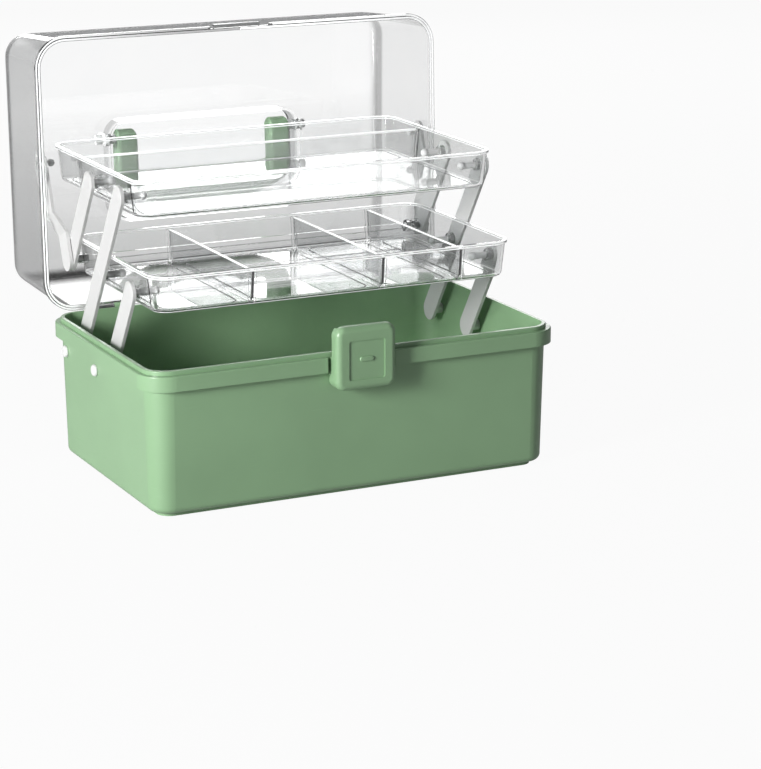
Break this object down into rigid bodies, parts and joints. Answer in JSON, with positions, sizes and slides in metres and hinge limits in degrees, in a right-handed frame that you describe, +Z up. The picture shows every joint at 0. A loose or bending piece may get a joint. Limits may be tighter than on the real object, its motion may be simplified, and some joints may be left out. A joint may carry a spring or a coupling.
{
  "type": "cantilever tray storage box",
  "caption": "Craft storage box with a hinged clear lid, cantilever trays on side bars, a front latch and a folding carry handle.",
  "frame": {"origin": "centre of the tub's footprint on the table", "axes": "+Z up, +X along the box, +Y to the rear where the lid hinges"},
  "size_m": [0.332, 0.3146, 0.317],
  "materials": {
    "tub_green": "smooth moulded",
    "handle_green": "smooth moulded",
    "latch_green": "smooth moulded",
    "lid_clear": "clear moulded plastic",
    "tray_clear": "clear moulded plastic",
    "arm_white": "smooth moulded",
    "pin_white": "smooth moulded",
    "hinge_steel": "drawn wire"
  },
  "bodies": {
    "tub": {"base_tub": "tub_green", "left_hinge_pin": "hinge_steel", "right_hinge_pin": "hinge_steel", "latch_pin": "hinge_steel"},
    "lid": {"lid_shell": "lid_clear", "left_handle_pin": "pin_white", "right_handle_pin": "pin_white", "left_lid_link_pin": "pin_white", "right_lid_link_pin": "pin_white"},
    "handle": {"handle": "handle_green"},
    "latch": {"latch": "latch_green"},
    "lower_tray": {"lower_tray": "tray_clear", "lower_tray_divider_1": "tray_clear", "lower_tray_divider_2": "tray_clear", "lower_tray_divider_3": "tray_clear"},
    "upper_tray": {"upper_tray": "tray_clear", "upper_tray_divider": "tray_clear"},
    "left_long_arm": {"left_long_arm": "arm_white", "left_long_arm_base_pin": "pin_white", "left_long_arm_mid_pin": "pin_white", "left_long_arm_top_pin": "pin_white"},
    "left_short_arm": {"left_short_arm": "arm_white", "left_short_arm_base_pin": "pin_white", "left_short_arm_top_pin": "pin_white"},
    "left_tray_link": {"left_tray_link": "arm_white", "left_tray_link_lower_pin": "pin_white", "left_tray_link_top_pin": "pin_white"},
    "left_lid_link": {"left_lid_link": "arm_white"},
    "right_long_arm": {"right_long_arm": "arm_white", "right_long_arm_base_pin": "pin_white", "right_long_arm_mid_pin": "pin_white", "right_long_arm_top_pin": "pin_white"},
    "right_short_arm": {"right_short_arm": "arm_white", "right_short_arm_base_pin": "pin_white", "right_short_arm_top_pin": "pin_white"},
    "right_tray_link": {"right_tray_link": "arm_white", "right_tray_link_lower_pin": "pin_white", "right_tray_link_top_pin": "pin_white"},
    "right_lid_link": {"right_lid_link": "arm_white"}
  },
  "joints": [
    {"name": "lid_hinge", "type": "hinge", "parent": "tub", "child": "lid", "pos_m": [0, 0.1045, 0.108], "axis": [1, 0, 0], "range_deg": [0, 91.9]},
    {"name": "handle_pivot", "type": "hinge", "parent": "lid", "child": "handle", "pos_m": [0, 0.19175, 0.22117], "axis": [1, 0, 0], "range_deg": [0, 90]},
    {"name": "latch_pivot", "type": "hinge", "parent": "tub", "child": "latch", "pos_m": [0, -0.1045, 0.088], "axis": [1, 0, 0], "range_deg": [0, 50]},
    {"name": "left_long_arm_pivot", "type": "hinge", "parent": "tub", "child": "left_long_arm", "pos_m": [0, 0.0768, 0.0845], "axis": [1, 0, 0], "range_deg": [0, 31.5]},
    {"name": "left_short_arm_pivot", "type": "hinge", "parent": "tub", "child": "left_short_arm", "pos_m": [0, 0.0148, 0.0845], "axis": [1, 0, 0], "range_deg": [0, 31.5]},
    {"name": "right_long_arm_pivot", "type": "hinge", "parent": "tub", "child": "right_long_arm", "pos_m": [0, 0.0768, 0.0845], "axis": [1, 0, 0], "range_deg": [0, 31.5]},
    {"name": "right_short_arm_pivot", "type": "hinge", "parent": "tub", "child": "right_short_arm", "pos_m": [0, 0.0148, 0.0845], "axis": [1, 0, 0], "range_deg": [0, 31.5]},
    {"name": "lower_tray_pivot", "type": "hinge", "parent": "left_long_arm", "child": "lower_tray", "pos_m": [0, 0.03396, 0.15046], "axis": [1, 0, 0], "range_deg": [-31.5, 0]},
    {"name": "upper_tray_pivot", "type": "hinge", "parent": "left_long_arm", "child": "upper_tray", "pos_m": [0, -0.00887, 0.21642], "axis": [1, 0, 0], "range_deg": [-31.5, 0]},
    {"name": "left_tray_link_pivot", "type": "hinge", "parent": "lower_tray", "child": "left_tray_link", "pos_m": [0, 0.09396, 0.15046], "axis": [1, 0, 0], "range_deg": [0, 31.5]},
    {"name": "left_lid_link_pivot", "type": "hinge", "parent": "lower_tray", "child": "left_lid_link", "pos_m": [0, 0.09396, 0.15046], "axis": [1, 0, 0], "range_deg": [0, 110.2]},
    {"name": "right_tray_link_pivot", "type": "hinge", "parent": "lower_tray", "child": "right_tray_link", "pos_m": [0, 0.09396, 0.15046], "axis": [1, 0, 0], "range_deg": [0, 31.5]},
    {"name": "right_lid_link_pivot", "type": "hinge", "parent": "lower_tray", "child": "right_lid_link", "pos_m": [0, 0.09396, 0.15046], "axis": [1, 0, 0], "range_deg": [0, 110.2]}
  ],
  "couplings": [
    {"joint": "left_long_arm_pivot", "follows": "lid_hinge", "ratio": 0.34276},
    {"joint": "left_short_arm_pivot", "follows": "lid_hinge", "ratio": 0.34276},
    {"joint": "right_long_arm_pivot", "follows": "lid_hinge", "ratio": 0.34276},
    {"joint": "right_short_arm_pivot", "follows": "lid_hinge", "ratio": 0.34276},
    {"joint": "lower_tray_pivot", "follows": "lid_hinge", "ratio": -0.34276},
    {"joint": "upper_tray_pivot", "follows": "lid_hinge", "ratio": -0.34276},
    {"joint": "left_tray_link_pivot", "follows": "lid_hinge", "ratio": 0.34276},
    {"joint": "left_lid_link_pivot", "follows": "lid_hinge", "ratio": 1.1991},
    {"joint": "right_tray_link_pivot", "follows": "lid_hinge", "ratio": 0.34276},
    {"joint": "right_lid_link_pivot", "follows": "lid_hinge", "ratio": 1.1991}
  ]
}
